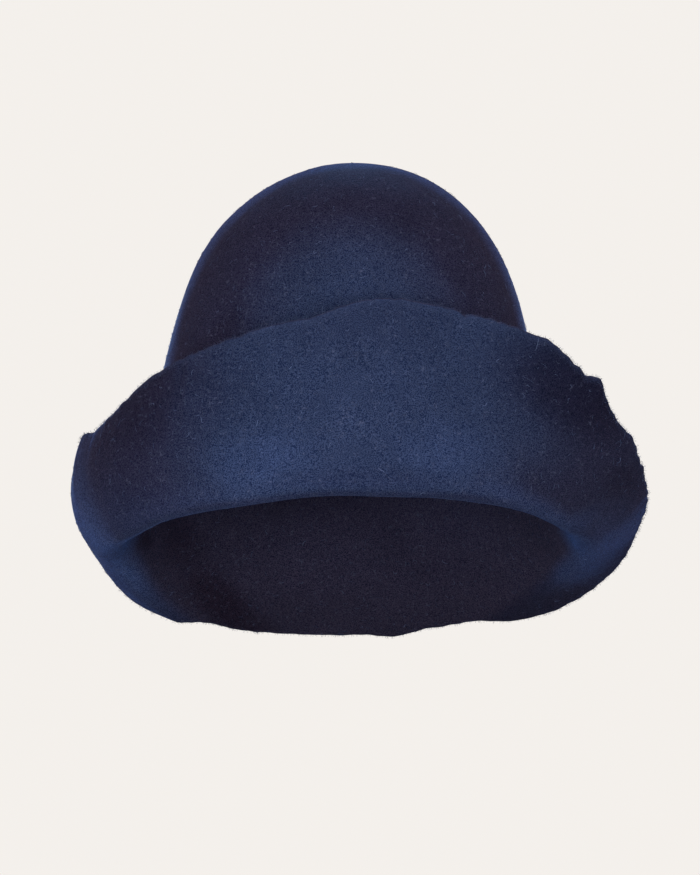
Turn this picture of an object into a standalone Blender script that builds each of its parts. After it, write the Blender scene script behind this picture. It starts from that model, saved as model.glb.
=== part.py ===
"""Felt hat: one hood of wool felt with its front brim folded up as a cuff.

Units are metres, +Z is up, the front of the hat faces -Y. The origin is the
centre of the head line, the level inside the crown where the hat sits on a head.

The felt is one open surface, a section swept round the crown's axis. Each
section starts at the tip, runs down the crown to the head line and on into the
brim. There it flares, and where the brim is folded it rolls over and runs up
again. Solidify then gives the surface the thickness of the felt.
"""

import math

import bmesh
import bpy
import numpy as np

# Crown
HEAD_RADIUS = 0.0930          # middle of the felt at the head line
CROWN_DEPTH = 0.1365          # head line up to the tip
CROWN_LEAN = 0.0025           # the tip stands this far to the side (+X)
CROWN_LEAN_START = 0.25       # share of the depth below which the crown stands straight
DOME_ROUNDNESS = 1.205        # how much faster the tip bends than an even arc
DOME_SHARE = 0.735            # share of the crown's slope that is dome, the rest is wall
WALL_ANGLE = math.radians(12)  # the wall's flare from straight down, before it is fitted

# Brim
BRIM_LENGTH = 0.0925          # head line to the raw edge, measured along the felt
RIM_ANGLE = math.radians(54)  # the brim's flare from straight down at its edge
FOLD_RADIUS = 0.0050          # bend radius of the felt in the front fold
LEAST_BEND = math.radians(20)  # a fold turns the felt by no less, which keeps its roll long

# Felt
FELT_THICKNESS = 0.0026
FELT_COLOUR = (0.030, 0.046, 0.110, 1.0)
FELT_ROUGHNESS = 0.95

# Mesh
SECTION_COUNT = 90
CROWN_STEPS = 10
WALL_STEPS = 3
ROLL_STEPS = 5
CUFF_STEPS = 7
ROLL_START_LIMIT = 0.60       # the roll's rows start no further down the brim than this share
ROLL_END_LIMIT = 0.82         # and end no further than this, so the cuff keeps its rows
CROWN_SUMS = 400              # fine steps that the crown's curve is added up in
BRIM_SUMS = 12                # fine steps between two rows of the brim

# A section of the brim for each direction round the hat, in degrees from the
# front, positive to +X. Fold and edge are shares of BRIM_LENGTH: where the felt
# turns over, past the edge where it doesn't, and where it ends. Leave and tip
# are the felt's headings in degrees from straight down, just past the fold and
# at the raw edge: 90 is level and outward, 180 is straight up. Roll is the
# fold's bend radius as a share of FOLD_RADIUS.
BRIM_COLUMNS = ("azimuth", "fold", "leave", "tip", "edge", "roll")
BRIM_SECTIONS = (
    (-180, 1.60, 90, 100, 1.05, 1.0),
    (-160, 1.24, 85, 100, 1.02, 1.0),
    (-147, 1.00, 80, 95, 0.94, 2.0),
    (-135, 0.84, 84, 112, 0.99, 3.0),
    (-120, 0.65, 92, 160, 0.96, 3.0),
    (-105, 0.54, 112, 196, 0.99, 2.4),
    (-88, 0.48, 124, 204, 1.04, 1.6),
    (-70, 0.42, 139, 202, 1.02, 1.1),
    (-50, 0.33, 160, 192, 1.03, 1.0),
    (-25, 0.27, 176, 188, 1.07, 1.0),
    (-8, 0.24, 183, 184, 1.09, 1.0),
    (8, 0.24, 184, 182, 1.16, 1.0),
    (28, 0.25, 182, 177, 1.12, 1.0),
    (48, 0.30, 170, 168, 1.09, 1.2),
    (68, 0.38, 150, 156, 0.93, 1.5),
    (85, 0.45, 132, 144, 0.86, 2.0),
    (102, 0.52, 112, 136, 0.86, 3.0),
    (118, 0.61, 90, 104, 0.89, 4.0),
    (135, 0.76, 68, 76, 0.94, 4.0),
    (155, 1.06, 60, 62, 0.95, 3.0),
)

# Teeth and nicks of the uneven raw edge: where, how wide to each side in
# degrees, and how far the edge stands out there, as a share of BRIM_LENGTH.
EDGE_TEETH = (
    (-82, 6, 0.040),
    (-10, 8, -0.012),
    (47, 5, 0.012),
    (59, 4, 0.045),
    (72, 5, 0.020),
    (152, 9, -0.015),
    (171, 8, 0.040),
)


def smooth_step(t):
    """Rise from 0 to 1 as t goes from 0 to 1, level at both ends."""
    t = np.clip(t, 0.0, 1.0)
    return t * t * (3.0 - 2.0 * t)


def brim_column(name, azimuths):
    """Read a column of BRIM_SECTIONS at any azimuths, as a closed smooth curve."""
    column = BRIM_COLUMNS.index(name)
    knots = np.array([row[0] for row in BRIM_SECTIONS], dtype=float)
    values = np.array([row[column] for row in BRIM_SECTIONS], dtype=float)
    knots = np.concatenate((knots[-1:] - 360.0, knots, knots[:2] + 360.0))
    values = np.concatenate((values[-1:], values, values[:2]))
    turn = (np.asarray(azimuths, dtype=float) - knots[1]) % 360.0 + knots[1]
    i = np.searchsorted(knots, turn, side="right") - 1
    span = knots[i + 1] - knots[i]
    start_slope = (values[i + 1] - values[i - 1]) / (knots[i + 1] - knots[i - 1]) * span
    end_slope = (values[i + 2] - values[i]) / (knots[i + 2] - knots[i]) * span
    t = (turn - knots[i]) / span
    return (
        (2 * t**3 - 3 * t**2 + 1) * values[i]
        + (t**3 - 2 * t**2 + t) * start_slope
        + (-2 * t**3 + 3 * t**2) * values[i + 1]
        + (t**3 - t**2) * end_slope
    )


def tooth_reach(azimuths):
    """Sum the teeth and nicks of the raw edge, each a rounded bump."""
    reach = np.zeros(len(azimuths))
    for azimuth, half_width, height in EDGE_TEETH:
        off = (np.asarray(azimuths) - azimuth + 180.0) % 360.0 - 180.0
        reach += height * smooth_step(1.0 - np.abs(off) / half_width)
    return reach


def crown_section(shares):
    """Radius, height and last heading of the crown's section, tip to head line.

    The felt's heading swings from level at the tip to the wall's flare at the
    end of the dome, and stays there down the wall. The curve is then fitted to
    HEAD_RADIUS and CROWN_DEPTH.
    """
    fine = np.linspace(0.0, 1.0, CROWN_SUMS)
    t = np.clip(fine / DOME_SHARE, 0.0, 1.0)
    swing = (t**3 - 2 * t**2 + t) * DOME_ROUNDNESS + (3 * t**2 - 2 * t**3)
    heading = math.pi / 2 - (math.pi / 2 - WALL_ANGLE) * swing
    middle = (heading[1:] + heading[:-1]) / 2
    out = np.concatenate(((0.0,), np.cumsum(np.sin(middle))))
    down = np.concatenate(((0.0,), np.cumsum(np.cos(middle))))
    radius = HEAD_RADIUS * out / out[-1]
    height = CROWN_DEPTH * (1.0 - down / down[-1])
    last_heading = math.atan2(radius[-1] - radius[-2], height[-2] - height[-1])
    return np.interp(shares, fine, radius), np.interp(shares, fine, height), last_heading


def open_heading(lengths, wall_heading):
    """Heading of the unfolded brim: it leaves the wall and flares to its edge."""
    return wall_heading + (RIM_ANGLE - wall_heading) * smooth_step(lengths / BRIM_LENGTH)


def brim_lengths(azimuths, wall_heading):
    """Fold, roll width and edge, along the felt from the head line, by azimuth."""
    fold = brim_column("fold", azimuths) * BRIM_LENGTH
    edge = (brim_column("edge", azimuths) + tooth_reach(azimuths)) * BRIM_LENGTH
    leave = np.radians(brim_column("leave", azimuths))
    bend = np.maximum(leave - open_heading(fold, wall_heading), LEAST_BEND)
    roll = brim_column("roll", azimuths) * FOLD_RADIUS * bend
    return fold, roll, edge


def brim_heading(lengths, azimuths, wall_heading):
    """Heading of the brim: open above the fold, rolled through it, then the cuff."""
    fold, roll, edge = brim_lengths(azimuths, wall_heading)
    leave = np.radians(brim_column("leave", azimuths))
    tip = np.radians(brim_column("tip", azimuths))
    past_fold = np.clip((lengths - fold) / np.maximum(edge - fold, FOLD_RADIUS), 0.0, 1.0)
    cuff = leave + (tip - leave) * past_fold
    turned = smooth_step((lengths - fold) / roll + 0.5)
    return open_heading(lengths, wall_heading) * (1.0 - turned) + cuff * turned


def brim_rows(azimuths, wall_heading):
    """Lengths of the brim's rows: down the wall, through the roll, up the cuff."""
    fold, roll, edge = brim_lengths(azimuths, wall_heading)
    roll_start = np.minimum(fold - roll / 2, edge * ROLL_START_LIMIT)
    roll_end = np.minimum(fold + roll / 2, edge * ROLL_END_LIMIT)
    wall = np.linspace(0.0, 1.0, WALL_STEPS, endpoint=False)[:, None] * roll_start
    turn = np.linspace(0.0, 1.0, ROLL_STEPS, endpoint=False)[:, None]
    cuff = np.linspace(0.0, 1.0, CUFF_STEPS + 1)[:, None]
    return np.concatenate(
        (wall, roll_start + turn * (roll_end - roll_start), roll_end + cuff * (edge - roll_end))
    )


def brim_section(azimuths, wall_heading):
    """Radius and height of the brim's rows, from the head line to the raw edge."""
    rows = brim_rows(azimuths, wall_heading)
    share = np.linspace(0.0, 1.0, BRIM_SUMS, endpoint=False)[None, :, None]
    fine = rows[:-1, None] + share * (rows[1:] - rows[:-1])[:, None]
    fine = np.concatenate((fine.reshape(-1, rows.shape[1]), rows[-1:]))
    heading = brim_heading((fine[1:] + fine[:-1]) / 2, azimuths, wall_heading)
    step = np.diff(fine, axis=0)
    start = np.zeros((1, rows.shape[1]))
    out = np.concatenate((start, np.cumsum(np.sin(heading) * step, axis=0)))[::BRIM_SUMS]
    down = np.concatenate((start, np.cumsum(np.cos(heading) * step, axis=0)))[::BRIM_SUMS]
    return HEAD_RADIUS + out, -down


def hood_points():
    """The felt's middle surface: rows from the tip to the raw edge, by azimuth."""
    azimuths = np.arange(SECTION_COUNT) * 360.0 / SECTION_COUNT - 180.0
    shares = np.linspace(0.0, 1.0, CROWN_STEPS, endpoint=False)[1:]
    crown_radius, crown_height, _ = crown_section(shares)
    _, _, wall_heading = crown_section(np.array((1.0,)))
    brim_radius, brim_height = brim_section(azimuths, wall_heading)
    around = np.ones((1, SECTION_COUNT))
    radius = np.concatenate((crown_radius[:, None] * around, brim_radius))
    height = np.concatenate((crown_height[:, None] * around, brim_height))
    lean = np.zeros_like(height)
    lean[: len(shares)] = CROWN_LEAN * leaning(height[: len(shares)])
    turn = np.radians(azimuths)
    return np.stack((radius * np.sin(turn) + lean, -radius * np.cos(turn), height), axis=-1)


def leaning(height):
    """Share of the crown's lean at a height: none low down, all of it at the tip."""
    start = CROWN_LEAN_START * CROWN_DEPTH
    return np.clip((height - start) / (CROWN_DEPTH - start), 0.0, 1.0) ** 2


def loft_hood(name):
    """Loft the felt's middle surface through its sections, closed at the tip."""
    points = hood_points()
    row_count, column_count = points.shape[:2]
    hood = bmesh.new()
    tip = hood.verts.new((CROWN_LEAN, 0.0, CROWN_DEPTH))
    rings = [[hood.verts.new(point) for point in row] for row in points]
    for j in range(column_count):
        following = (j + 1) % column_count
        hood.faces.new((tip, rings[0][j], rings[0][following]))
        for i in range(row_count - 1):
            upper, lower = rings[i], rings[i + 1]
            hood.faces.new((upper[j], lower[j], lower[following], upper[following]))
    bmesh.ops.recalc_face_normals(hood, faces=hood.faces)
    mesh = bpy.data.meshes.new(name)
    hood.to_mesh(mesh)
    hood.free()
    mesh.shade_smooth()
    return mesh


def felt_material():
    """Matt navy wool felt."""
    material = bpy.data.materials.new("navy_felt")
    material.use_nodes = True
    shader = material.node_tree.nodes["Principled BSDF"]
    shader.inputs["Base Color"].default_value = FELT_COLOUR
    shader.inputs["Roughness"].default_value = FELT_ROUGHNESS
    shader.inputs["Metallic"].default_value = 0.0
    return material


def build_hat():
    """Make the hat: the lofted hood with the thickness of the felt."""
    collection = bpy.data.collections.new("felt_hat")
    bpy.context.scene.collection.children.link(collection)
    hat = bpy.data.objects.new("felt_hat", loft_hood("felt_hat"))
    hat.data.materials.append(felt_material())
    collection.objects.link(hat)
    wall = hat.modifiers.new("felt_thickness", "SOLIDIFY")
    wall.thickness = FELT_THICKNESS
    wall.offset = 0.0
    wall.use_even_offset = True
    wall.use_quality_normals = True
    return hat


def main():
    """Clear the scene and build the hat."""
    for old in list(bpy.data.objects):
        bpy.data.objects.remove(old, do_unlink=True)
    build_hat()


main()
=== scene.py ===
"""Navy felt hat with a folded brim, dressed for its picture.

The hat is one hood of wool felt: a round crown, a wall down to the head line, and a
brim that is folded up as a cuff in front and hangs down behind. Lengths are metres,
+Z is up, the front of the hat faces -Y and azimuths are degrees from the front,
positive to +X. The origin is the centre of the head line.
"""

import itertools
import logging
import math
from dataclasses import dataclass
from enum import Enum
from typing import Any

import bpy
import numpy as np
import numpy.typing as npt
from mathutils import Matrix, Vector


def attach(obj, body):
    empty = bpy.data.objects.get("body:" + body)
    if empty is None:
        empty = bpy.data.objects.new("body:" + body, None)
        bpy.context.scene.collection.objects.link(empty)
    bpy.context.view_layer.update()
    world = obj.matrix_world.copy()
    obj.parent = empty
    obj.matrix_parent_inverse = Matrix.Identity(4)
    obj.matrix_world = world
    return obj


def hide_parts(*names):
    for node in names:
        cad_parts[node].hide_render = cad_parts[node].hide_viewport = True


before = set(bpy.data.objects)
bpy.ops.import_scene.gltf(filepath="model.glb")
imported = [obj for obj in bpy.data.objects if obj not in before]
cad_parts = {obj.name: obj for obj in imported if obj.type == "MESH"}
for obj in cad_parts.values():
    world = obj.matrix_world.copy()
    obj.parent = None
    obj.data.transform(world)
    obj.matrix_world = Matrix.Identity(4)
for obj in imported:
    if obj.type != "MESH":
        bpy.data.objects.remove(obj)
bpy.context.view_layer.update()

Array = npt.NDArray[np.float64]
Colour = tuple[float, float, float, float]
Point = tuple[float, float, float]

LOG = logging.getLogger("felt_hat")
BODY = "root"


class Mark(Enum):
    """The vertex attributes that the finishes read, TONE on fibres and the rest on felt."""

    # raw edge: its lighter band is partly the fuzz's own colour and partly painted sheen
    RAW = "raw_edge"
    # painted light: a lighter, bluer colour on the fold's crest, the lower rims and light patches
    CREST_PAINTED_LIGHT = "crest"
    # painted light and shade in the hollow: a redder, less blue tone inside the crown and wall
    INSIDE = "inside"
    # painted shade in dark patches
    FLAT = "painted_shade_patches"
    # painted shade: the sides are darker the more they turn away from the front camera's place
    SIDE = "painted_side_shade"
    TONE = "tone"


def smooth_step(t: Array) -> Array:
    """Rise from 0 to 1 as t goes from 0 to 1, level at both ends.

    Args:
        t: Any values; those outside 0 to 1 are held at the ends.

    Returns:
        Three t squared less two t cubed.
    """
    t = np.clip(t, 0.0, 1.0)
    return t * t * (3.0 - 2.0 * t)


def soft_noise(points: Array, size: float, seed: int) -> Array:
    """Smooth random field in space.

    Random heights stand on a cubic lattice, and a point blends the eight round it
    with smooth_step weights along x, y and z.

    Args:
        points: Places, with x, y and z along the last axis.
        size: Pitch of the lattice.
        seed: Start of the random heights.

    Returns:
        Heights from -1 to 1, one for each place.
    """
    count = 24
    lattice = np.random.default_rng(seed).uniform(-1.0, 1.0, (count,) * 3)
    place = points / size
    cell = np.floor(place).astype(int)
    share = smooth_step(place - cell)
    total = np.zeros(points.shape[:-1])
    for corner in itertools.product((0, 1), repeat=3):
        weight = np.prod(np.where(corner, share, 1.0 - share), axis=-1)
        index = (cell + corner) % count
        total += weight * lattice[index[..., 0], index[..., 1], index[..., 2]]
    return total


def unit(vectors: Array) -> Array:
    """Scale the vectors along the last axis to length 1; those of no length stay so."""
    length = np.linalg.norm(vectors, axis=-1, keepdims=True)
    return vectors / np.maximum(length, 1e-12)


def make_object(name: str, points: Array, faces: list[list[int]]) -> bpy.types.Object:
    """Make a smooth mesh object at the origin and link it to the scene.

    Args:
        name: Name of the piece.
        points: Its vertices.
        faces: Its faces, as vertex numbers.

    Returns:
        The new object.
    """
    mesh = bpy.data.meshes.new(name)
    mesh.from_pydata(points.tolist(), [], faces)
    mesh.shade_smooth()
    mesh.update()
    piece = bpy.data.objects.new(name, mesh)
    bpy.context.scene.collection.objects.link(piece)
    return piece


def ring_faces(rings: int, columns: int) -> list[list[int]]:
    """Faces of a disc: a fan round point 0, and quads between the rings that follow it.

    Args:
        rings: How many rings of points there are.
        columns: Points in each ring.

    Returns:
        The quads and then the fan, as vertex numbers.
    """
    near = np.arange(columns)
    far = (near + 1) % columns
    first = 1 + np.arange(rings - 1)[:, None] * columns
    quads = np.stack((first + near, first + columns + near, first + columns + far, first + far), axis=-1)
    fan = np.stack((np.zeros_like(near), 1 + near, 1 + far), axis=-1)
    return quads.reshape(-1, 4).tolist() + fan.tolist()


def set_attribute(piece: bpy.types.Object, mark: Mark, values: Array) -> None:
    """Give each vertex of a piece a value.

    Args:
        piece: A mesh object.
        mark: Which of the attributes.
        values: One value a vertex.
    """
    layer = piece.data.attributes.new(mark.value, "FLOAT", "POINT")
    layer.data.foreach_set("value", np.ascontiguousarray(values, dtype=np.float32))


class Graph:
    """Maker of shader nodes in one tree: a value sets a socket, an output joins it."""

    def __init__(self, tree: bpy.types.NodeTree) -> None:
        """Work in the given tree."""
        self.tree = tree

    def feed(self, node: bpy.types.Node, feeds: dict[Any, Any]) -> None:
        """Give a node its inputs.

        Args:
            node: The node.
            feeds: What each input socket gets, a value or another node's output.
        """
        for socket, value in feeds.items():
            if isinstance(value, bpy.types.NodeSocket):
                self.tree.links.new(value, node.inputs[socket])
            else:
                node.inputs[socket].default_value = value

    def add(self, kind: str, feeds: dict[Any, Any] | None = None, **settings: Any) -> bpy.types.Node:
        """Add a node.

        Args:
            kind: Blender's name for the node, without ShaderNode or NodeGroup in front.
            feeds: What each input socket gets, a value or another node's output.
            settings: The node's own properties.

        Returns:
            The new node.
        """
        family = "NodeGroup" if kind in ("Input", "Output") else "ShaderNode"
        node = self.tree.nodes.new(family + kind)
        for name, value in settings.items():
            setattr(node, name, value)
        self.feed(node, feeds or {})
        return node

    def math(self, operation: str, *terms: Any, clamp: bool = False) -> bpy.types.NodeSocket:
        """Add a Math node; clamp holds its result between 0 and 1."""
        feeds = dict(enumerate(terms))
        return self.add("Math", feeds, operation=operation, use_clamp=clamp).outputs[0]

    def ramp(self, value: Any, start: float, end: float) -> bpy.types.NodeSocket:
        """Add a Map Range node that rises smoothly from 0 at start to 1 at end."""
        feeds = {"Value": value, "From Min": start, "From Max": end}
        return self.add("MapRange", feeds, interpolation_type="SMOOTHSTEP").outputs[0]

    def mix(self, share: Any, first: Any, second: Any) -> bpy.types.NodeSocket:
        """Add a Mix node for colours: share 0 gives the first and 1 the second."""
        feeds = {0: share, 6: first, 7: second}
        return self.add("Mix", feeds, data_type="RGBA", clamp_factor=True).outputs[2]

    def times(self, vector: Any, other: Any) -> bpy.types.NodeSocket:
        """Multiply two vectors or colours, part by part."""
        return self.add("VectorMath", {0: vector, 1: other}, operation="MULTIPLY").outputs[0]

    def scaled(self, vector: Any, factor: Any) -> bpy.types.NodeSocket:
        """Multiply a vector or colour by a number."""
        return self.add("VectorMath", {0: vector, 3: factor}, operation="SCALE").outputs[0]

    def share(self, mark: Mark) -> bpy.types.NodeSocket:
        """Read a vertex attribute."""
        return self.add("Attribute", attribute_name=mark.value).outputs["Fac"]


def new_group(name: str, inputs: dict[str, str], outputs: dict[str, str]) -> bpy.types.NodeTree:
    """Make an empty shader node group.

    Args:
        name: Its name.
        inputs: Socket names and the last word of their types.
        outputs: The same for the outputs.

    Returns:
        The group.
    """
    group = bpy.data.node_groups.new(name, "ShaderNodeTree")
    for in_out, sockets in (("INPUT", inputs), ("OUTPUT", outputs)):
        for label, kind in sockets.items():
            group.interface.new_socket(label, in_out=in_out, socket_type="NodeSocket" + kind)
    return group


def mottle_group() -> bpy.types.NodeTree:
    """Soft cloudy unevenness, used by every finish here.

    Two noises, one about a third the size of the other, are added and spread round 1.

    Returns:
        A group that gives Tone, 1 on average, up to Amount either way.
    """
    finer_by, finer_weight = 3.1, 0.6
    average, spread_gain = 0.8, 2.5
    group = new_group(
        "soft_mottle", {"Vector": "Vector", "Size": "Float", "Amount": "Float"}, {"Tone": "Float"}
    )
    graph = Graph(group)
    given = graph.add("Input").outputs
    scale = graph.math("DIVIDE", 1.0, given["Size"])
    finer = graph.math("MULTIPLY", scale, finer_by)
    broad = graph.add("TexNoise", {"Vector": given["Vector"], "Scale": scale, "Detail": 1.0})
    close = graph.add("TexNoise", {"Vector": given["Vector"], "Scale": finer, "Detail": 1.0})
    both = graph.math("ADD", broad.outputs[0], graph.math("MULTIPLY", close.outputs[0], finer_weight))
    spread = graph.math("MULTIPLY", graph.math("SUBTRACT", both, average), spread_gain)
    tone = graph.math("MULTIPLY_ADD", spread, given["Amount"], 1.0)
    graph.add("Output", {"Tone": tone})
    return group


def wool_group() -> bpy.types.NodeTree:
    """The nap of wool felt: grain of matted fibre ends, and curly fibres on top.

    The nap is combed from front to back, so the grain is longer along Y. A fibre is
    where a noise passes through its middle value, which draws thin curly lines, and a
    second noise breaks the lines into short lengths. Two such layers lie over the grain.

    Returns:
        A group that gives Grain and Fibre from 0 to 1, and their Height.
    """
    combing = (1.0, 0.3, 1.0)
    noise_middle = 0.5
    grain_contrast, grain_level = 6.5, 0.46
    layer_offsets = (0.0, 0.37)
    break_scale, break_level, break_sharpness = 1.3, 0.60, 12.0
    fibre_height = 0.7
    group = new_group(
        "wool_nap",
        {"Vector": "Vector", "Grain Size": "Float", "Curl Size": "Float", "Fibre Width": "Float"},
        {"Grain": "Float", "Fibre": "Float", "Height": "Float"},
    )
    graph = Graph(group)
    given = graph.add("Input").outputs
    grain_scale = graph.math("DIVIDE", 1.0, given["Grain Size"])
    curl_scale = graph.math("DIVIDE", 1.0, given["Curl Size"])
    combed = graph.times(given["Vector"], combing)
    grain = graph.add(
        "TexNoise", {"Vector": combed, "Scale": grain_scale, "Detail": 2.0, "Roughness": 0.65}
    ).outputs[0]
    off_middle = graph.math("SUBTRACT", grain, noise_middle)
    grain = graph.math("MULTIPLY_ADD", off_middle, grain_contrast, grain_level, clamp=True)
    layers = []
    for offset in layer_offsets:
        moved = graph.add("VectorMath", {0: combed, 1: (offset,) * 3}).outputs[0]
        curl = graph.add(
            "TexNoise", {"Vector": moved, "Scale": curl_scale, "Detail": 1.0, "Distortion": 0.8}
        ).outputs[0]
        off_line = graph.math("ABSOLUTE", graph.math("SUBTRACT", curl, noise_middle))
        line = graph.math("SUBTRACT", 1.0, graph.math("DIVIDE", off_line, given["Fibre Width"]), clamp=True)
        finer = graph.math("MULTIPLY", curl_scale, break_scale)
        broken = graph.add("TexNoise", {"Vector": moved, "Scale": finer, "Detail": 0.0}).outputs[0]
        past_break = graph.math("SUBTRACT", broken, break_level)
        length = graph.math("MULTIPLY", past_break, break_sharpness, clamp=True)
        layers.append(graph.math("MULTIPLY", line, length))
    fibre = graph.math("MAXIMUM", *layers)
    height = graph.math("MULTIPLY_ADD", fibre, fibre_height, grain)
    graph.add("Output", {"Grain": grain, "Fibre": fibre, "Height": height})
    return group


def new_material(name: str) -> tuple[bpy.types.Material, Graph, bpy.types.Node]:
    """Make a material that has only its shader, and give both with a maker of nodes."""
    material = bpy.data.materials.new(name)
    material.use_nodes = True
    return material, Graph(material.node_tree), material.node_tree.nodes["Principled BSDF"]


@dataclass(frozen=True)
class FeltFinish:
    """Matted navy wool felt, matt, with a painted sheen: its colour turns lighter and bluer
    where the felt is seen edge on.

    A gain multiplies the felt's colour where the mark of that name is full, or for the
    rim the painted sheen. These gains are painted light and shade: painted shade on the
    sides, painted light on the fold's crest, the lower rims and light patches, painted
    shade in dark patches, and a painted redder, less blue tone inside the hollow. A share
    says how much of a colour shows at most, and the painted sheen's start and end are
    values of Layer Weight's Facing.
    """

    name: str = "navy_felt_nap"
    gap: Colour = (0.0130, 0.0230, 0.0620, 1.0)
    body: Colour = (0.0650, 0.0980, 0.1950, 1.0)
    fibre: Colour = (0.2000, 0.2400, 0.3800, 1.0)
    edge: Colour = (0.0700, 0.1050, 0.2200, 1.0)
    crest_painted_light_gain: Colour = (2.60, 3.00, 3.40, 1.0)
    inside_painted_tint_gain: Colour = (1.38, 0.80, 0.66, 1.0)
    painted_shade_gain: Colour = (0.50, 0.36, 0.37, 1.0)
    side_painted_shade_gain: Colour = (0.84, 0.56, 0.54, 1.0)
    rim_painted_sheen_gain: Colour = (1.6, 2.3, 3.0, 1.0)
    painted_sheen_start: float = 0.66
    painted_sheen_end: float = 0.90
    edge_fuzz_and_sheen_share: float = 0.25
    fibre_share: float = 0.35
    grain_size: float = 0.00044
    curl_size: float = 0.0028
    fibre_width: float = 0.022
    mottle_size: float = 0.030
    mottle: float = 0.16
    bump_depth: float = 0.00028
    bump_strength: float = 0.55
    roughness: float = 0.50
    specular: float = 0.22
    specular_tint: Colour = (0.10, 0.25, 1.0, 1.0)
    sheen: float = 0.10
    sheen_roughness: float = 0.30
    sheen_tint: Colour = (0.30, 0.53, 1.0, 1.0)

    def make(self, nap: bpy.types.NodeTree, mottle: bpy.types.NodeTree) -> bpy.types.Material:
        """Build the material.

        Args:
            nap: The group from wool_group.
            mottle: The group from mottle_group.

        Returns:
            The finished material.
        """
        material, graph, shader = new_material(self.name)
        place = graph.add("TexCoord").outputs["Object"]
        wool_feeds = {
            "Vector": place,
            "Grain Size": self.grain_size,
            "Curl Size": self.curl_size,
            "Fibre Width": self.fibre_width,
        }
        wool = graph.add("Group", wool_feeds, node_tree=nap).outputs
        cloud_feeds = {"Vector": place, "Size": self.mottle_size, "Amount": self.mottle}
        cloud = graph.add("Group", cloud_feeds, node_tree=mottle)
        plain = (1.0, 1.0, 1.0, 1.0)
        # painted shade on the sides, which turn away from the front camera's place
        tint = graph.mix(graph.share(Mark.SIDE), plain, self.side_painted_shade_gain)
        # painted light and shade in the hollow: a redder, less blue tone inside
        tint = graph.mix(graph.share(Mark.INSIDE), tint, self.inside_painted_tint_gain)
        # painted shade in dark patches
        tint = graph.times(tint, graph.mix(graph.share(Mark.FLAT), plain, self.painted_shade_gain))
        # painted light: a lighter, bluer colour on the fold's crest, the lower rims and light patches
        tint = graph.mix(graph.share(Mark.CREST_PAINTED_LIGHT), tint, self.crest_painted_light_gain)
        # painted sheen: the colour turns lighter and bluer where the felt is seen edge on
        facing = graph.add("LayerWeight", {"Blend": 0.5}).outputs["Facing"]
        painted_sheen = graph.ramp(facing, self.painted_sheen_start, self.painted_sheen_end)
        tint = graph.mix(painted_sheen, tint, self.rim_painted_sheen_gain)
        ground = graph.times(graph.mix(wool["Grain"], self.gap, self.body), tint)
        # a lighter, plainer band along the raw edge: partly the fuzz's own colour, partly painted sheen
        raw = graph.math("MULTIPLY", graph.share(Mark.RAW), self.edge_fuzz_and_sheen_share)
        edged = graph.mix(raw, ground, self.edge)
        hair = graph.math("MULTIPLY", wool["Fibre"], self.fibre_share)
        haired = graph.mix(hair, edged, self.fibre)
        bump_feeds = {"Strength": self.bump_strength, "Distance": self.bump_depth, "Height": wool["Height"]}
        graph.feed(
            shader,
            {
                "Base Color": graph.scaled(haired, cloud.outputs["Tone"]),
                "Normal": graph.add("Bump", bump_feeds).outputs[0],
                "Roughness": self.roughness,
                "Specular IOR Level": self.specular,
                "Specular Tint": self.specular_tint,
                "Sheen Weight": self.sheen,
                "Sheen Roughness": self.sheen_roughness,
                "Sheen Tint": self.sheen_tint,
            },
        )
        return material


@dataclass(frozen=True)
class FibreFinish:
    """Loose wool fibres, some nearly as dark as the felt and some pale."""

    name: str = "loose_wool"
    dark: Colour = (0.045, 0.070, 0.160, 1.0)
    pale: Colour = (0.260, 0.360, 0.620, 1.0)
    mottle_size: float = 0.004
    mottle: float = 0.25
    roughness: float = 0.85
    specular: float = 0.2

    def make(self, mottle: bpy.types.NodeTree) -> bpy.types.Material:
        """Build the material; mottle is the group from mottle_group."""
        material, graph, shader = new_material(self.name)
        place = graph.add("TexCoord").outputs["Object"]
        cloud_feeds = {"Vector": place, "Size": self.mottle_size, "Amount": self.mottle}
        cloud = graph.add("Group", cloud_feeds, node_tree=mottle)
        colour = graph.mix(graph.share(Mark.TONE), self.dark, self.pale)
        graph.feed(
            shader,
            {
                "Base Color": graph.scaled(colour, cloud.outputs["Tone"]),
                "Roughness": self.roughness,
                "Specular IOR Level": self.specular,
            },
        )
        return material


@dataclass(frozen=True)
class StageFinish:
    """Pale matt paper of the studio floor, which thins out towards its rim.

    Glow is how strongly the camera sees the paper shine in its own colour, which keeps
    it as even as a studio's backdrop, and bounce is the share of light that it returns.
    """

    name: str = "studio_paper"
    colour: Colour = (0.86, 0.83, 0.79, 1.0)
    bounce: float = 0.40
    mottle_size: float = 0.5
    mottle: float = 0.02
    glow: float = 0.80
    roughness: float = 0.9
    solid_radius: float = 1.0
    rim_radius: float = 2.1

    def make(self, mottle: bpy.types.NodeTree) -> bpy.types.Material:
        """Build the material; mottle is the group from mottle_group."""
        material, graph, shader = new_material(self.name)
        place = graph.add("TexCoord").outputs["Object"]
        cloud_feeds = {"Vector": place, "Size": self.mottle_size, "Amount": self.mottle}
        cloud = graph.add("Group", cloud_feeds, node_tree=mottle)
        toned = graph.scaled(self.colour[:3], cloud.outputs["Tone"])
        radius = graph.add("VectorMath", {0: place}, operation="LENGTH").outputs["Value"]
        thinned = graph.ramp(radius, self.solid_radius, self.rim_radius)
        seen = graph.add("LightPath").outputs["Is Camera Ray"]
        graph.feed(
            shader,
            {
                "Alpha": graph.math("SUBTRACT", 1.0, thinned),
                "Base Color": graph.scaled(toned, self.bounce),
                "Emission Color": toned,
                "Emission Strength": graph.math("MULTIPLY", seen, self.glow),
                "Roughness": self.roughness,
            },
        )
        return material


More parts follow.
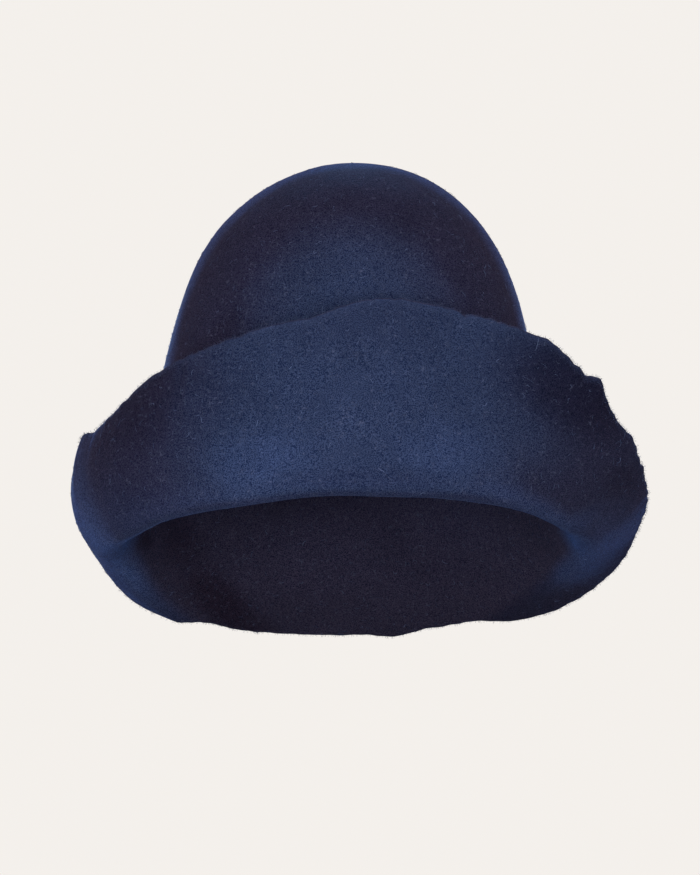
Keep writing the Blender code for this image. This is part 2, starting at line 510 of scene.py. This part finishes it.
# A section of the brim for each direction round the hat. Fold and edge are shares of
# the brim's length: where the felt turns over, past the edge where it doesn't, and
# where it ends. Leave and tip are the felt's headings in degrees from straight down,
# just past the fold and at the raw edge: 90 is level and outward, 180 is straight up.
# Roll is the fold's bend radius as a share of the front fold's.
BRIM_COLUMNS = ("azimuth", "fold", "leave", "tip", "edge", "roll")
BRIM_SECTIONS = (
    (-180, 1.60, 90, 100, 1.05, 1.0),
    (-160, 1.24, 85, 100, 1.02, 1.0),
    (-147, 1.00, 80, 95, 0.94, 2.0),
    (-135, 0.84, 84, 112, 0.99, 3.0),
    (-120, 0.65, 92, 160, 0.96, 3.0),
    (-105, 0.54, 112, 196, 0.99, 2.4),
    (-88, 0.48, 124, 204, 1.04, 1.6),
    (-70, 0.42, 139, 202, 1.02, 1.1),
    (-50, 0.33, 160, 192, 1.03, 1.0),
    (-25, 0.27, 176, 188, 1.07, 1.0),
    (-8, 0.24, 183, 184, 1.09, 1.0),
    (8, 0.24, 184, 182, 1.16, 1.0),
    (28, 0.25, 182, 177, 1.12, 1.0),
    (48, 0.30, 170, 168, 1.09, 1.2),
    (68, 0.38, 150, 156, 0.93, 1.5),
    (85, 0.45, 132, 144, 0.86, 2.0),
    (102, 0.52, 112, 136, 0.86, 3.0),
    (118, 0.61, 90, 104, 0.89, 4.0),
    (135, 0.76, 68, 76, 0.94, 4.0),
    (155, 1.06, 60, 62, 0.95, 3.0),
)

# Teeth and nicks of the uneven raw edge: azimuth and half width in degrees, and how far
# the edge stands out there as a share of the brim's length. The nicks are those too
# small for the plain solid.
EDGE_TEETH = (
    (-82, 6, 0.040),
    (-10, 8, -0.012),
    (47, 5, 0.012),
    (59, 4, 0.045),
    (72, 5, 0.020),
    (152, 9, -0.015),
    (171, 8, 0.040),
)
EDGE_NICKS = ((28.5, 1.4, -0.012),)

# Painted light along the crest of the fold and the lower rims of the brim, where the felt's
# colour is made lighter and bluer: azimuth, how far it reaches from the fold back into
# the hat and out over the cuff, and how strong it is.
CREST_SECTIONS = (
    (-150, 0.010, 0.010, 0.0),
    (-137, 0.012, 0.012, 0.28),
    (-130, 0.012, 0.014, 0.38),
    (-122, 0.012, 0.020, 0.58),
    (-112, 0.014, 0.026, 0.90),
    (-98, 0.011, 0.030, 1.00),
    (-86, 0.005, 0.050, 0.80),
    (-79, 0.004, 0.080, 0.60),
    (-70, 0.003, 0.040, 0.14),
    (-50, 0.003, 0.022, 0.16),
    (-30, 0.002, 0.020, 0.10),
    (30, 0.002, 0.020, 0.10),
    (50, 0.003, 0.012, 0.45),
    (62, 0.003, 0.009, 0.50),
    (75, 0.004, 0.030, 0.26),
    (86, 0.006, 0.040, 0.42),
    (96, 0.010, 0.026, 0.95),
    (106, 0.010, 0.024, 0.62),
    (116, 0.010, 0.026, 0.58),
    (124, 0.008, 0.014, 0.15),
    (134, 0.008, 0.010, 0.0),
)

# Soft oval patches of painted light, lighter, and of painted shade, darker: azimuth, length
# past the fold, half width in degrees, half length, and how light, below 0 for painted shade.
PAINTED_LIGHT_AND_SHADE_PATCHES = (
    (-150, -0.024, 24, 0.022, -0.90),
    (-124, -0.034, 22, 0.020, -0.60),
    (-108, -0.018, 12, 0.010, -1.00),
    (-46, 0.050, 34, 0.032, -0.42),
    (-58, 0.012, 16, 0.016, -0.45),
    (2, 0.078, 34, 0.026, -0.25),
    (4, 0.006, 34, 0.009, -0.45),
    (54, 0.060, 28, 0.034, -1.00),
    (74, 0.032, 12, 0.014, -0.50),
    (24, 0.020, 20, 0.020, 0.14),
    (-22, 0.018, 20, 0.018, 0.14),
)


@dataclass
class HoodShape:
    """The felt's middle surface: a section from tip to raw edge for each azimuth.

    Torn says where round the hat the raw edge is rougher, how far to each side in
    degrees, and by how much. The roll limits are shares of the brim, past which the
    fold's rows don't start or end. Sums are the fine steps that a curve is added up in:
    for the whole crown, and between two rows of the brim.
    """

    head_radius: float = 0.0930
    crown_depth: float = 0.1365
    crown_lean: float = 0.0025
    lean_start: float = 0.25
    dome_roundness: float = 1.205
    dome_share: float = 0.735
    wall_flare: float = math.radians(12)
    brim_length: float = 0.0925
    rim_flare: float = math.radians(54)
    fold_radius: float = 0.0050
    least_bend: float = math.radians(20)
    ragged: float = 0.00011
    fewest_waves: int = 24
    most_waves: int = 150
    wave_kinds: int = 26
    wave_fade: float = 0.4
    wave_heights: tuple[float, float] = (0.4, 1.0)
    wave_seed: int = 41
    torn_at: float = 68.0
    torn_width: float = 42.0
    torn_gain: float = 0.9
    roll_start_limit: float = 0.60
    roll_end_limit: float = 0.82
    crown_sums: int = 400
    brim_sums: int = 4
    crown_steps: int = 38
    wall_steps: int = 12
    roll_steps: int = 14
    cuff_steps: int = 24
    column_count: int = 520

    def column(self, name: str, azimuths: Array) -> Array:
        """Read a column of BRIM_SECTIONS as a closed smooth curve.

        Between two rows the curve is a cubic whose slope at each row is that of the
        line from the row before to the row after.

        Args:
            name: Name of the column.
            azimuths: Where to read it, in degrees.

        Returns:
            A value for each azimuth.
        """
        which = BRIM_COLUMNS.index(name)
        knots = np.array([row[0] for row in BRIM_SECTIONS], dtype=float)
        values = np.array([row[which] for row in BRIM_SECTIONS], dtype=float)
        knots = np.concatenate((knots[-1:] - 360.0, knots, knots[:2] + 360.0))
        values = np.concatenate((values[-1:], values, values[:2]))
        turn = (azimuths - knots[1]) % 360.0 + knots[1]
        i = np.searchsorted(knots, turn, side="right") - 1
        span = knots[i + 1] - knots[i]
        start = (values[i + 1] - values[i - 1]) / (knots[i + 1] - knots[i - 1]) * span
        end = (values[i + 2] - values[i]) / (knots[i + 2] - knots[i]) * span
        t = (turn - knots[i]) / span
        return (
            (2 * t**3 - 3 * t**2 + 1) * values[i]
            + (t**3 - 2 * t**2 + t) * start
            + (3 * t**2 - 2 * t**3) * values[i + 1]
            + (t**3 - t**2) * end
        )

    def edge_reach(self, azimuths: Array) -> Array:
        """Length along the felt from the head line to the raw edge.

        The edge column, a rounded bump for each tooth, and a fine unevenness that is
        a sum of waves round the hat, the finer ones lower.

        Args:
            azimuths: Directions in degrees.

        Returns:
            A length for each azimuth.
        """
        reach = self.column("edge", azimuths)
        for azimuth, half_width, height in EDGE_TEETH + EDGE_NICKS:
            off = (azimuths - azimuth + 180.0) % 360.0 - 180.0
            reach = reach + height * smooth_step(1.0 - np.abs(off) / half_width)
        rng = np.random.default_rng(self.wave_seed)
        waves = rng.integers(self.fewest_waves, self.most_waves, self.wave_kinds)
        phases = rng.uniform(0.0, 2.0 * math.pi, waves.size)
        turns = np.radians(azimuths)[:, None] * waves + phases
        fade = (self.fewest_waves / waves) ** self.wave_fade
        heights = rng.uniform(*self.wave_heights, waves.size) * fade
        torn = smooth_step(1.0 - np.abs(azimuths - self.torn_at) / self.torn_width)
        rough = self.ragged * (1.0 + self.torn_gain * torn)
        return reach * self.brim_length + rough * (np.sin(turns) * heights).sum(axis=1)

    def crown(self, shares: Array) -> tuple[Array, Array, float]:
        """The crown's section, tip to head line.

        The felt's heading swings from level at the tip to the wall's flare at the end
        of the dome, and stays there down the wall. Its sine adds up to the radius and
        its cosine to the drop, which are fitted to the head radius and crown depth.

        Args:
            shares: How far down the section, 0 at the tip and 1 at the head line.

        Returns:
            Radius and height for each share, and the heading at the head line.
        """
        fine = np.linspace(0.0, 1.0, self.crown_sums)
        t = np.clip(fine / self.dome_share, 0.0, 1.0)
        swing = (t**3 - 2 * t**2 + t) * self.dome_roundness + (3 * t**2 - 2 * t**3)
        heading = math.pi / 2 - (math.pi / 2 - self.wall_flare) * swing
        middle = (heading[1:] + heading[:-1]) / 2
        out = np.concatenate(((0.0,), np.cumsum(np.sin(middle))))
        down = np.concatenate(((0.0,), np.cumsum(np.cos(middle))))
        radius = self.head_radius * out / out[-1]
        height = self.crown_depth * (1.0 - down / down[-1])
        last = math.atan2(radius[-1] - radius[-2], height[-2] - height[-1])
        return np.interp(shares, fine, radius), np.interp(shares, fine, height), last

    def brim(self, azimuths: Array, wall_heading: float) -> tuple[Array, Array, Array]:
        """The brim's sections, head line to raw edge.

        The open brim leaves the wall and flares to its edge. Through the fold the
        heading passes from the open brim's to the cuff's, and the cuff's goes evenly
        from its leave value to its tip value. Its sine adds up to the radius and its
        cosine to the drop.

        Args:
            azimuths: Directions in degrees.
            wall_heading: The crown's heading at the head line.

        Returns:
            Radius, height and length along the felt, rows down and azimuths across.
        """
        fold = self.column("fold", azimuths) * self.brim_length
        edge = self.edge_reach(azimuths)
        leave = np.radians(self.column("leave", azimuths))
        tip = np.radians(self.column("tip", azimuths))

        def open_heading(lengths: Array) -> Array:
            """Heading of the brim where it isn't folded."""
            return wall_heading + (self.rim_flare - wall_heading) * smooth_step(lengths / self.brim_length)

        bend = np.maximum(leave - open_heading(fold), self.least_bend)
        roll = self.column("roll", azimuths) * self.fold_radius * bend
        roll_start = np.minimum(fold - roll / 2, edge * self.roll_start_limit)
        roll_end = np.minimum(fold + roll / 2, edge * self.roll_end_limit)
        wall = np.linspace(0.0, 1.0, self.wall_steps, endpoint=False)[:, None] * roll_start
        turn = np.linspace(0.0, 1.0, self.roll_steps, endpoint=False)[:, None]
        cuff = np.linspace(0.0, 1.0, self.cuff_steps + 1)[:, None]
        rows = np.concatenate(
            (wall, roll_start + turn * (roll_end - roll_start), roll_end + cuff * (edge - roll_end))
        )
        share = np.linspace(0.0, 1.0, self.brim_sums, endpoint=False)[None, :, None]
        fine = rows[:-1, None] + share * (rows[1:] - rows[:-1])[:, None]
        fine = np.concatenate((fine.reshape(-1, rows.shape[1]), rows[-1:]))
        middle = (fine[1:] + fine[:-1]) / 2
        past_fold = np.clip((middle - fold) / np.maximum(edge - fold, self.fold_radius), 0.0, 1.0)
        turned = smooth_step((middle - fold) / roll + 0.5)
        heading = open_heading(middle) * (1.0 - turned) + (leave + (tip - leave) * past_fold) * turned
        step = np.diff(fine, axis=0)
        start = np.zeros((1, rows.shape[1]))
        out = np.concatenate((start, np.cumsum(np.sin(heading) * step, axis=0)))
        down = np.concatenate((start, np.cumsum(np.cos(heading) * step, axis=0)))
        return self.head_radius + out[::self.brim_sums], -down[::self.brim_sums], rows

    def azimuths(self) -> Array:
        """Directions of the sections, in degrees from the front."""
        return np.arange(self.column_count) * 360.0 / self.column_count - 180.0

    def surface(self) -> tuple[Array, Array, Array]:
        """The middle surface as a grid, its first row all at the tip.

        A section stands at each azimuth: radius times the azimuth's sine is x, less
        radius times its cosine is y. The crown leans to +X with the square of its
        height above the lean's start.

        Returns:
            Points, rows down from the tip and azimuths across, and for each point the
            length of felt from there to the raw edge and how far it lies past the fold.
        """
        azimuths = self.azimuths()
        shares = np.linspace(0.0, 1.0, self.crown_steps, endpoint=False)
        crown_radius, crown_height, wall_heading = self.crown(shares)
        brim_radius, brim_height, rows = self.brim(azimuths, wall_heading)
        around = np.ones((1, azimuths.size))
        radius = np.concatenate((crown_radius[:, None] * around, brim_radius))
        height = np.concatenate((crown_height[:, None] * around, brim_height))
        start = self.lean_start * self.crown_depth
        lean = self.crown_lean * np.clip((height - start) / (self.crown_depth - start), 0.0, 1.0) ** 2
        lean[self.crown_steps:] = 0.0
        turn = np.radians(azimuths)
        points = np.stack((radius * np.sin(turn) + lean, -radius * np.cos(turn), height), axis=-1)
        on_crown = np.ones((shares.size, azimuths.size))
        fold = self.column("fold", azimuths) * self.brim_length
        to_edge = np.concatenate((on_crown, rows[-1] - rows))
        past_fold = np.concatenate((-on_crown, rows - fold))
        return points, to_edge, past_fold


@dataclass
class FeltHood:
    """The hat itself: both skins of the felt and its rounded raw edge, closed.

    Reaches and the fade of the inside's painted tint are lengths along the felt. The line is
    a painted highlight along the sharp crest of the fold, which fades out over line_fade
    degrees up to line_end. The sides are painted darker, as painted shade, the more they
    turn away from a fixed point at the front camera's place.
    darker on the sides, which turn away from there.
    """

    shape: HoodShape
    thickness: float = 0.0026
    thickness_swing: float = 0.08
    edge_roundness: float = 0.75
    edge_rows: int = 5
    dent: float = 0.00045
    dent_size: float = 0.034
    ripple: float = 0.00018
    ripple_size: float = 0.012
    noise_seeds: tuple[int, int, int] = (7, 8, 9)
    fuzzy_reach: float = 0.0008
    line_reach: float = 0.0045
    line_strength: float = 0.28
    line_end: float = 120.0
    line_fade: float = 30.0
    patch_softness: float = 0.80
    inside_fade: float = 0.008
    # painted shade: the felt darkens as it turns away from this point, the front camera's place
    side_shade_from: Point = (0.0003, -1.497, -0.080)
    side_shade_start: float = 0.06
    side_shade_softness: float = 0.28

    def normals(self, points: Array) -> Array:
        """Outward normals of a grid of points that closes round the hat.

        The way down the grid crossed with the way round it.

        Args:
            points: Rows down from the tip, azimuths across.

        Returns:
            A unit vector for each point, straight up at the tip.
        """
        down = np.gradient(points, axis=0)
        round_ = np.roll(points, -1, axis=1) - np.roll(points, 1, axis=1)
        normals = unit(np.cross(down, round_))
        normals[0] = (0.0, 0.0, 1.0)
        return normals

    def skin_normals(self, grid: Array) -> Array:
        """Outward normals of the whole skin, straight down at the crown's inner middle."""
        normals = self.normals(grid)
        normals[-1] = (0.0, 0.0, -1.0)
        return normals

    def skin(self) -> tuple[Array, dict[Mark, Array]]:
        """The whole surface of the felt as one grid.

        Outer skin from the tip to the edge, round the raw edge on a flattened half
        circle, and inner skin back to the tip. The felt is first moved along its
        normals by two soft noises, for the dents of a hand-blocked hood.

        Returns:
            Points, rows down and azimuths across, and what the finish reads at each.
        """
        middle, to_edge, past_fold = self.shape.surface()
        dent_seed, ripple_seed, swing_seed = self.noise_seeds
        moved = self.dent * soft_noise(middle, self.dent_size, dent_seed)
        moved += self.ripple * soft_noise(middle, self.ripple_size, ripple_seed)
        middle = middle + self.normals(middle) * moved[..., None]
        normals = self.normals(middle)
        swing = 1.0 + self.thickness_swing * soft_noise(middle, self.ripple_size, swing_seed)
        half = (self.thickness / 2 * swing)[..., None]
        along = unit(middle[-1] - middle[-2])
        turn = np.linspace(0.0, math.pi, self.edge_rows + 2)[1:-1, None, None]
        rim = middle[-1] + half[-1] * (
            np.cos(turn) * normals[-1] + self.edge_roundness * np.sin(turn) * along
        )
        grid = np.concatenate((middle + half * normals, rim, (middle - half * normals)[::-1]))
        # painted light on the fold's crest and in light patches, and painted shade in dark patches
        crest, flat = self.nap(past_fold)
        # painted light and shade in the hollow: the share of its redder, less blue tone
        inside = smooth_step(-past_fold / self.inside_fade)
        raw = smooth_step(1.0 - to_edge / self.fuzzy_reach)
        blank = np.zeros(rim.shape[:2])
        # painted shade on the sides: darker the more the felt turns away from the front camera's place
        to_side_shade_from = unit(np.array(self.side_shade_from) - grid)
        turned = 1.0 - np.abs((self.skin_normals(grid) * to_side_shade_from).sum(axis=-1))
        marks = {
            Mark.SIDE: smooth_step((turned - self.side_shade_start) / self.side_shade_softness),
            Mark.RAW: np.concatenate((raw, blank + 1.0, raw[::-1])),
            Mark.CREST_PAINTED_LIGHT: np.concatenate((crest, blank, crest[::-1])),
            Mark.INSIDE: np.concatenate((np.zeros_like(inside), blank, inside[::-1])),
            Mark.FLAT: np.concatenate((np.zeros_like(flat), blank, flat[::-1])),
        }
        return grid, marks

    def nap(self, past_fold: Array) -> tuple[Array, Array]:
        """Where light and shade are painted on the felt.

        The painted light is the largest of the band listed for the crest of the fold, which
        fades out over its own reach on each side of the fold, the painted highlight line on
        the fold and the light patches. The painted shade is the largest of the dark patches.

        Args:
            past_fold: How far each point lies past the fold, azimuths across.

        Returns:
            The shares of painted light and of painted shade, from 0 to 1.
        """
        azimuths = self.shape.azimuths()
        knots = np.array(CREST_SECTIONS).T
        back, out, strength = (np.interp(azimuths, knots[0], column) for column in knots[1:])
        off = np.maximum(-past_fold / back, past_fold / out)
        # painted highlight: a thin light line along the fold
        line = self.line_strength * smooth_step(1.0 - np.abs(past_fold) / self.line_reach)
        line = line * smooth_step((self.line_end - np.abs(azimuths)) / self.line_fade)
        crest = np.maximum(strength * smooth_step(1.0 - off), line)
        flat = np.zeros_like(crest)
        # patches above 0 are painted light, those below 0 painted shade
        for azimuth, past, half_width, half_length, light in PAINTED_LIGHT_AND_SHADE_PATCHES:
            off = np.hypot((azimuths - azimuth) / half_width, (past_fold - past) / half_length)
            patch = abs(light) * smooth_step((1.0 - off) / self.patch_softness)
            if light > 0.0:
                crest = np.maximum(crest, patch)
            else:
                flat = np.maximum(flat, patch)
        return crest, flat

    def build(self, grid: Array, marks: dict[Mark, Array]) -> bpy.types.Object:
        """Make the closed mesh of the hat.

        Args:
            grid: The points from skin.
            marks: What the finish reads at each of them.

        Returns:
            The hat, in place of the plain solid, which it hides.
        """
        row_count, column_count = grid.shape[:2]
        ring_count = row_count - 2
        points = np.concatenate((grid[0, :1], grid[1:-1].reshape(-1, 3), grid[-1, :1]))
        last_ring = 1 + (ring_count - 1) * column_count + np.arange(column_count)
        pole = np.full(column_count, len(points) - 1)
        inner_tip = np.stack((last_ring, pole, np.roll(last_ring, -1)), axis=-1)
        hat = make_object("felt_hood", points, ring_faces(ring_count, column_count) + inner_tip.tolist())
        for mark, values in marks.items():
            set_attribute(hat, mark, np.concatenate((values[0, :1], values[1:-1].ravel(), values[-1, :1])))
        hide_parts("felt_hat")
        return hat


@dataclass
class LooseFibres:
    """Wool fibres that lie on the felt or stand from it, as thin three-sided tubes.

    Curl is the spread of the angle that they turn by, stand is how steeply they leave
    the felt, 0 for flat, and lift is how far their middles arch off it. Taper is how
    much thinner the ends are.
    """

    name: str
    count: int
    length: tuple[float, float]
    radius: float
    points_each: int
    curl: float
    stand: float
    lift: float
    paleness: float
    seed: int
    edge_only: bool = False
    wave: float = 0.8
    wave_turn: float = 5.0
    least_pitch: float = 0.0004
    radius_swing: tuple[float, float] = (0.6, 1.2)
    taper: float = 0.6
    tone_shape: tuple[float, float] = (1.2, 2.6)
    sides: int = 3

    def starts(self, grid: Array, raw: Array, rng: np.random.Generator) -> tuple[Array, Array]:
        """Pick where the fibres grow, evenly over the felt's area.

        Args:
            grid: The felt's surface.
            raw: The raw edge's share at each of its points.
            rng: Source of random numbers.

        Returns:
            Row and column of each fibre's root, as fractions of grid steps.
        """
        down = np.linalg.norm(np.diff(grid, axis=0), axis=-1)
        across = np.linalg.norm(np.roll(grid, -1, axis=1) - grid, axis=-1)[:-1]
        area = down * across
        if self.edge_only:
            area = area * raw[:-1]
        chance = np.cumsum(area.ravel())
        cell = np.searchsorted(chance, rng.uniform(0.0, chance[-1], self.count))
        rows, columns = np.unravel_index(np.minimum(cell, area.size - 1), area.shape)
        return rows + rng.random(self.count), columns + rng.random(self.count)

    @staticmethod
    def read(field: Array, rows: Array, columns: Array) -> Array:
        """Blend a grid's four nearest values at fractional places.

        Args:
            field: Values on the grid, closed across its columns.
            rows: Fractional rows.
            columns: Fractional columns.

        Returns:
            A value for each place.
        """
        rows = np.clip(rows, 0.0, field.shape[0] - 1.001)
        i = np.floor(rows).astype(int)
        j = np.floor(columns).astype(int)
        down, across = (rows - i)[..., None], (columns - j)[..., None]
        j, k = j % field.shape[1], (j + 1) % field.shape[1]
        upper = field[i, j] * (1.0 - across) + field[i, k] * across
        lower = field[i + 1, j] * (1.0 - across) + field[i + 1, k] * across
        return upper * (1.0 - down) + lower * down

    def paths(self, hood: FeltHood, grid: Array, raw: Array) -> Array:
        """Lines of the fibres.

        A fibre wanders over the felt: its direction turns at an even rate with a wave
        on top, and each step is divided by the grid's pitch at its root, so that it
        hugs the surface. Its height over the felt is an arch for the lift and a slope
        for the stand.

        Args:
            hood: The hat that they lie on.
            grid: The felt's surface.
            raw: The raw edge's share at each of its points.

        Returns:
            Points, fibres down and points along each across.
        """
        rng = np.random.default_rng(self.seed)
        rows, columns = self.starts(grid, raw, rng)
        normals = hood.skin_normals(grid)
        pitch_down = np.linalg.norm(np.gradient(grid, axis=0), axis=-1)[..., None]
        pitch_round = np.linalg.norm(np.roll(grid, -1, axis=1) - grid, axis=-1)[..., None]
        length = rng.uniform(*self.length, self.count)
        along = np.linspace(0.0, 1.0, self.points_each)
        turning = rng.normal(0.0, self.curl, self.count)
        wave = rng.normal(0.0, self.wave, self.count)
        phase = rng.uniform(0.0, 2.0 * math.pi, self.count)
        heading = rng.uniform(0.0, 2.0 * math.pi, self.count)[:, None] + turning[:, None] * along
        heading = heading + wave[:, None] * np.sin(self.wave_turn * along + phase[:, None])
        step = (length / (self.points_each - 1))[:, None]
        down = np.cumsum(np.cos(heading) * step, axis=1)
        down /= np.maximum(self.read(pitch_down, rows, columns), self.least_pitch)
        round_ = np.cumsum(np.sin(heading) * step, axis=1)
        round_ /= np.maximum(self.read(pitch_round, rows, columns), self.least_pitch)
        flat = 1.0 - self.stand
        at_rows, at_columns = rows[:, None] + down * flat, columns[:, None] + round_ * flat
        base = self.read(grid, at_rows, at_columns)
        out = unit(self.read(normals, at_rows, at_columns))
        rise = self.radius * 0.5 + self.lift * rng.random(self.count)[:, None] * np.sin(math.pi * along)
        rise = rise + self.stand * length[:, None] * along
        return base + out * rise[..., None]

    def build(self, hood: FeltHood, grid: Array, raw: Array) -> bpy.types.Object:
        """Make the fibres' tubes as one mesh.

        Three points stand round each point of a fibre's line, closer to it at the
        ends, and the last rings are closed with a triangle.

        Args:
            hood: The hat that they lie on.
            grid: The felt's surface.
            raw: The raw edge's share at each of its points.

        Returns:
            The fibres.
        """
        line = self.paths(hood, grid, raw)
        rng = np.random.default_rng(self.seed + 1)
        ahead = unit(np.gradient(line, axis=1))
        askew = np.array((0.31, 0.52, 0.79))
        side = unit(np.cross(ahead, askew))
        over = np.cross(side, ahead)
        angle = np.arange(self.sides) * 2.0 * math.pi / self.sides
        along = np.linspace(-1.0, 1.0, self.points_each)
        thick = self.radius * rng.uniform(*self.radius_swing, (self.count, 1))
        thick = thick * (1.0 - self.taper * np.abs(along) ** 3)
        ring = np.cos(angle)[:, None] * side[:, :, None] + np.sin(angle)[:, None] * over[:, :, None]
        points = (line[:, :, None] + thick[:, :, None, None] * ring).reshape(-1, 3)
        one = np.arange(self.sides)
        two = (one + 1) % self.sides
        near = (np.arange(self.points_each - 1) * self.sides)[:, None]
        far = near + self.sides
        quads = np.stack((near + one, near + two, far + two, far + one), axis=-1)
        each = self.points_each * self.sides
        shift = (np.arange(self.count) * each)[:, None, None]
        quads = (quads.reshape(1, -1, 4) + shift).reshape(-1, 4)
        caps = np.array((one[::-1], each - self.sides + one))[None] + shift
        fibres = make_object(self.name, points, quads.tolist() + caps.reshape(-1, self.sides).tolist())
        tone = np.clip(rng.beta(*self.tone_shape, self.count) * self.paleness, 0.0, 1.0)
        set_attribute(fibres, Mark.TONE, np.repeat(tone, each))
        return fibres


@dataclass(frozen=True)
class SoftLight:
    """A square area light that looks at the hat and shines on nothing else."""

    name: str
    place: Point
    size: float
    watts: float
    colour: Point


LIGHTS = (
    SoftLight("key_left", (-0.17, -0.52, 0.00), 0.16, 0.50, (0.97, 0.98, 1.0)),
    SoftLight("key_right", (0.17, -0.52, 0.00), 0.16, 0.53, (0.97, 0.98, 1.0)),
    SoftLight("key_high", (0.04, -0.56, 0.46), 0.15, 0.92, (0.97, 0.98, 1.0)),
    SoftLight("key_low", (0.0, -1.30, -0.28), 0.50, 1.40, (0.97, 0.98, 1.0)),
    SoftLight("rim_left", (-0.50, -0.16, -0.34), 0.12, 1.15, (0.80, 0.92, 1.0)),
    SoftLight("rim_right", (0.60, -0.02, -0.22), 0.12, 0.42, (0.80, 0.92, 1.0)),
    SoftLight("crown_top", (0.0, 0.80, 0.95), 0.30, 1.3, (0.18, 0.50, 1.0)),
    SoftLight("back_left", (-0.45, 2.10, 0.15), 0.50, 4.0, (0.25, 0.50, 1.0)),
    SoftLight("back_right", (0.45, 2.10, 0.15), 0.50, 4.0, (0.25, 0.50, 1.0)),
)


@dataclass
class Studio:
    """Pale round floor under a pale even backdrop, soft lights and the camera.

    The camera's picture is picture_height pixels high and its focal length is
    focal_pixels of them. Below is how far under the level it looks from.
    """

    floor_height: float = -0.35
    floor_radius: float = 2.2
    floor_sides: int = 96
    floor_rings: int = 11
    aim: Point = (0.0003, 0.0, 0.0115)
    distance: float = 1.5
    below: float = math.radians(3.5)
    focal_pixels: float = 3260.9
    picture_height: float = 875.0
    sensor: float = 36.0
    backdrop: Colour = (0.905, 0.872, 0.836, 1.0)
    fill: Colour = (1.0, 0.50, 0.55, 1.0)
    fill_strength: float = 0.16

    def floor(self) -> bpy.types.Object:
        """Make the round floor: rings of points at growing radii round its middle."""
        radius = np.linspace(0.0, self.floor_radius, self.floor_rings + 1)[1:]
        angle = np.arange(self.floor_sides) * 2.0 * math.pi / self.floor_sides
        across = radius[:, None]
        height = np.full((self.floor_rings, self.floor_sides), self.floor_height)
        rings = np.stack((across * np.cos(angle), across * np.sin(angle), height), axis=-1)
        points = np.concatenate((((0.0, 0.0, self.floor_height),), rings.reshape(-1, 3)))
        return make_object("studio_floor", points, ring_faces(self.floor_rings, self.floor_sides))

    def light(self, pieces: list[bpy.types.Object]) -> None:
        """Put up the soft lights and the world's even fill.

        Args:
            pieces: What the lights shine on, so that none makes a bright patch on the
                floor beside the hat.
        """
        target = Vector(self.aim)
        lit = bpy.data.collections.new("lit_by_near_lights")
        for piece in pieces:
            lit.objects.link(piece)
        for lamp in LIGHTS:
            data = bpy.data.lights.new(lamp.name, "AREA")
            data.size = lamp.size
            data.energy = lamp.watts
            data.color = lamp.colour
            holder = bpy.data.objects.new(lamp.name, data)
            holder.location = lamp.place
            holder.rotation_euler = (target - holder.location).to_track_quat("-Z", "Y").to_euler()
            holder.visible_camera = False
            holder.light_linking.receiver_collection = lit
            bpy.context.scene.collection.objects.link(holder)
        world = bpy.data.worlds.new("studio_air")
        world.use_nodes = True
        graph = Graph(world.node_tree)
        nodes = world.node_tree.nodes
        fill = nodes["Background"]
        graph.feed(fill, {"Color": self.fill, "Strength": self.fill_strength})
        wall = graph.add("Background", {"Color": self.backdrop})
        seen = graph.add("LightPath").outputs["Is Camera Ray"]
        both = graph.add("MixShader", {0: seen, 1: fill.outputs[0], 2: wall.outputs[0]})
        world.node_tree.links.new(both.outputs[0], nodes["World Output"].inputs["Surface"])
        bpy.context.scene.world = world

    def camera(self) -> None:
        """Set the camera in front, a little below the hat, looking up at it."""
        data = bpy.data.cameras.new("front_camera")
        data.sensor_width = self.sensor
        data.lens = self.sensor * self.focal_pixels / self.picture_height
        camera = bpy.data.objects.new("front_camera", data)
        target = Vector(self.aim)
        back = Vector((0.0, -math.cos(self.below), -math.sin(self.below)))
        camera.location = target + back * self.distance
        camera.rotation_euler = (-back).to_track_quat("-Z", "Y").to_euler()
        bpy.context.scene.collection.objects.link(camera)
        bpy.context.scene.camera = camera


def main() -> None:
    """Build the hat and the studio, and report each piece."""
    logging.basicConfig(level=logging.INFO, format="%(name)s: %(message)s")
    scene = bpy.context.scene
    scene.view_settings.view_transform = "Standard"
    nap, mottle = wool_group(), mottle_group()

    hood = FeltHood(HoodShape())
    grid, marks = hood.skin()
    hat = hood.build(grid, marks)
    hat.data.materials.append(FeltFinish().make(nap, mottle))

    wool = FibreFinish().make(mottle)
    curls = LooseFibres(
        "nap_curls", count=6000, length=(0.0010, 0.0040), radius=0.00008, points_each=6,
        curl=2.2, stand=0.0, lift=0.0004, paleness=1.0, seed=21,
    )
    fray = LooseFibres(
        "edge_fray", count=5000, length=(0.0006, 0.0020), radius=0.00005, points_each=4,
        curl=1.2, stand=0.7, lift=0.0001, paleness=0.8, seed=31, edge_only=True,
    )
    pieces = [hat]
    for fibres in (curls, fray):
        piece = fibres.build(hood, grid, marks[Mark.RAW])
        piece.data.materials.append(wool)
        pieces.append(piece)
    for piece in pieces:
        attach(piece, BODY)
        LOG.info("%s: %d faces", piece.name, len(piece.data.polygons))

    studio = Studio()
    floor = studio.floor()
    floor.data.materials.append(StageFinish().make(mottle))
    studio.light(pieces)
    studio.camera()


if __name__ == "__main__":
    main()
